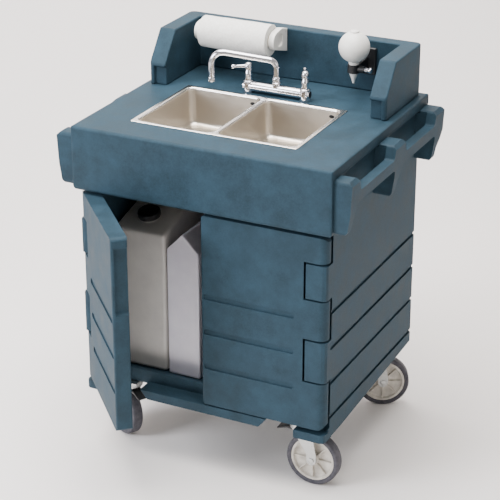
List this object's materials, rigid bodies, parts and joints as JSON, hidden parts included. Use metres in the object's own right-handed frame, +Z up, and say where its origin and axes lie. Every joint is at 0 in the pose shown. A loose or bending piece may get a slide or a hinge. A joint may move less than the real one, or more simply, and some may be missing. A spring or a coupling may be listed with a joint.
{
  "type": "portable handwash sink",
  "caption": "Moulded cart on swivel casters with a two-bowl sink, faucet, towel and soap holders, and doors over fresh and waste water tanks.",
  "frame": {"origin": "on the floor, under the middle of the cart's outline with its left door ajar", "axes": "+Z up, -Y out of the doors towards the user, +X to the user's right"},
  "size_m": [0.838, 0.8792, 1.1233],
  "materials": {
    "moulded_polyethylene": "rotationally moulded, softly mottled",
    "sink_steel": "polished rim, brushed bowls",
    "faucet_chrome": "polished",
    "zinc_plate": "bright zinc plated",
    "tyre_rubber": "matt, moulded",
    "hub_plastic": "moulded",
    "black_plastic": "moulded",
    "white_plastic": "moulded, semi-gloss",
    "paper": "creped paper towel",
    "card": "spiral-wound cardboard",
    "grey_tank": "blow moulded",
    "natural_tank": "blow moulded, slightly cloudy",
    "clear_hose": "extruded vinyl"
  },
  "bodies": {
    "cart": {"back_panel": "moulded_polyethylene", "backsplash": "moulded_polyethylene", "base_tray": "moulded_polyethylene", "caster_plate_front_left": "zinc_plate", "caster_plate_front_right": "zinc_plate", "caster_plate_rear_left": "zinc_plate", "caster_plate_rear_right": "zinc_plate", "cold_supply_hose": "clear_hose", "counter_deck": "moulded_polyethylene", "drain_hose": "clear_hose", "drain_manifold": "white_plastic", "faucet_bridge": "faucet_chrome", "fresh_tank": "natural_tank", "handle_rail_left": "moulded_polyethylene", "handle_rail_right": "moulded_polyethylene", "hinge_pin_left": "zinc_plate", "hinge_pin_right": "zinc_plate", "hot_supply_hose": "clear_hose", "pickup_hose": "clear_hose", "power_inlet": "black_plastic", "side_panel_left": "moulded_polyethylene", "side_panel_right": "moulded_polyethylene", "sink_basin": "sink_steel", "soap_bracket": "black_plastic", "soap_globe": "white_plastic", "soap_nozzle": "white_plastic", "strainer_left": "sink_steel", "strainer_right": "sink_steel", "towel_arm_left": "white_plastic", "towel_arm_right": "white_plastic", "waste_tank": "grey_tank", "water_heater": "white_plastic", "water_pump": "black_plastic"},
    "door_left": {"door_left": "moulded_polyethylene"},
    "door_right": {"door_right": "moulded_polyethylene"},
    "spout": {"faucet_spout": "faucet_chrome"},
    "lever_hot": {"lever_hot": "faucet_chrome"},
    "lever_cold": {"lever_cold": "faucet_chrome"},
    "roll": {"towel_roll": "paper", "towel_core": "card"},
    "plunger": {"soap_plunger": "faucet_chrome"},
    "soap_cap": {"soap_filler_cap": "white_plastic"},
    "waste_cap": {"waste_tank_cap": "black_plastic"},
    "fresh_cap": {"fresh_tank_cap": "white_plastic"},
    "swivel_front_left": {"caster_fork_front_left": "zinc_plate"},
    "wheel_front_left": {"caster_hub_front_left": "hub_plastic", "caster_tyre_front_left": "tyre_rubber"},
    "brake_front_left": {"caster_brake_front_left": "black_plastic"},
    "swivel_front_right": {"caster_fork_front_right": "zinc_plate"},
    "wheel_front_right": {"caster_hub_front_right": "hub_plastic", "caster_tyre_front_right": "tyre_rubber"},
    "brake_front_right": {"caster_brake_front_right": "black_plastic"},
    "swivel_rear_left": {"caster_fork_rear_left": "zinc_plate"},
    "wheel_rear_left": {"caster_hub_rear_left": "hub_plastic", "caster_tyre_rear_left": "tyre_rubber"},
    "swivel_rear_right": {"caster_fork_rear_right": "zinc_plate"},
    "wheel_rear_right": {"caster_hub_rear_right": "hub_plastic", "caster_tyre_rear_right": "tyre_rubber"}
  },
  "joints": [
    {"name": "door_left_hinge", "type": "hinge", "parent": "cart", "child": "door_left", "pos_m": [-0.334, -0.18437, 0.45], "axis": [0, 0, -1], "range_deg": [-47, 58]},
    {"name": "door_right_hinge", "type": "hinge", "parent": "cart", "child": "door_right", "pos_m": [0.334, -0.18437, 0.45], "axis": [0, 0, 1], "range_deg": [0, 105]},
    {"name": "spout_swivel", "type": "hinge", "parent": "cart", "child": "spout", "pos_m": [0.007, 0.23364, 0.9726], "axis": [0, 0, 1], "range_deg": [-18, 160]},
    {"name": "hot_lever_turn", "type": "hinge", "parent": "cart", "child": "lever_hot", "pos_m": [-0.0775, 0.23364, 0.9972], "axis": [0, 0, 1], "range_deg": [0, 90]},
    {"name": "cold_lever_turn", "type": "hinge", "parent": "cart", "child": "lever_cold", "pos_m": [0.0915, 0.23364, 0.9972], "axis": [0, 0, -1], "range_deg": [0, 100]},
    {"name": "towel_roll_spin", "type": "hinge", "parent": "cart", "child": "roll", "pos_m": [-0.153, 0.31764, 1.058], "axis": [1, 0, 0], "continuous": true},
    {"name": "soap_push", "type": "slide", "parent": "cart", "child": "plunger", "axis": [-1, 0, 0], "range_m": [0, 0.006], "stiffness_N_per_m": 300},
    {"name": "soap_cap_turn", "type": "hinge", "parent": "cart", "child": "soap_cap", "pos_m": [0.2, 0.30763, 1.1195], "axis": [0, 0, 1], "continuous": true},
    {"name": "waste_cap_turn", "type": "hinge", "parent": "cart", "child": "waste_cap", "pos_m": [-0.242, -0.03537, 0.6328], "axis": [0, -0.2482, 0.9687], "continuous": true},
    {"name": "fresh_cap_turn", "type": "hinge", "parent": "cart", "child": "fresh_cap", "pos_m": [-0.109, 0.07064, 0.6314], "axis": [0, 0, 1], "continuous": true},
    {"name": "swivel_turn_front_left", "type": "hinge", "parent": "cart", "child": "swivel_front_left", "pos_m": [-0.265, -0.12937, 0.17], "axis": [0, 0, 1], "continuous": true},
    {"name": "wheel_turn_front_left", "type": "hinge", "parent": "swivel_front_left", "child": "wheel_front_left", "pos_m": [-0.29271, -0.11336, 0.075], "axis": [-0.5, -0.866, 0], "continuous": true},
    {"name": "brake_press_front_left", "type": "hinge", "parent": "swivel_front_left", "child": "brake_front_left", "pos_m": [-0.25634, -0.13437, 0.155], "axis": [0.5, 0.866, 0], "range_deg": [0, 18]},
    {"name": "swivel_turn_front_right", "type": "hinge", "parent": "cart", "child": "swivel_front_right", "pos_m": [0.265, -0.12937, 0.17], "axis": [0, 0, 1], "continuous": true},
    {"name": "wheel_turn_front_right", "type": "hinge", "parent": "swivel_front_right", "child": "wheel_front_right", "pos_m": [0.297, -0.12937, 0.075], "axis": [0, 1, 0], "continuous": true},
    {"name": "brake_press_front_right", "type": "hinge", "parent": "swivel_front_right", "child": "brake_front_right", "pos_m": [0.255, -0.12937, 0.155], "axis": [0, -1, 0], "range_deg": [0, 18]},
    {"name": "swivel_turn_rear_left", "type": "hinge", "parent": "cart", "child": "swivel_rear_left", "pos_m": [-0.265, 0.34364, 0.17], "axis": [0, 0, 1], "continuous": true},
    {"name": "wheel_turn_rear_left", "type": "hinge", "parent": "swivel_rear_left", "child": "wheel_rear_left", "pos_m": [-0.29507, 0.35458, 0.075], "axis": [-0.342, -0.9397, 0], "continuous": true},
    {"name": "swivel_turn_rear_right", "type": "hinge", "parent": "cart", "child": "swivel_rear_right", "pos_m": [0.265, 0.34364, 0.17], "axis": [0, 0, 1], "continuous": true},
    {"name": "wheel_turn_rear_right", "type": "hinge", "parent": "swivel_rear_right", "child": "wheel_rear_right", "pos_m": [0.294, 0.35716, 0.075], "axis": [-0.4226, 0.9063, 0], "continuous": true}
  ]
}
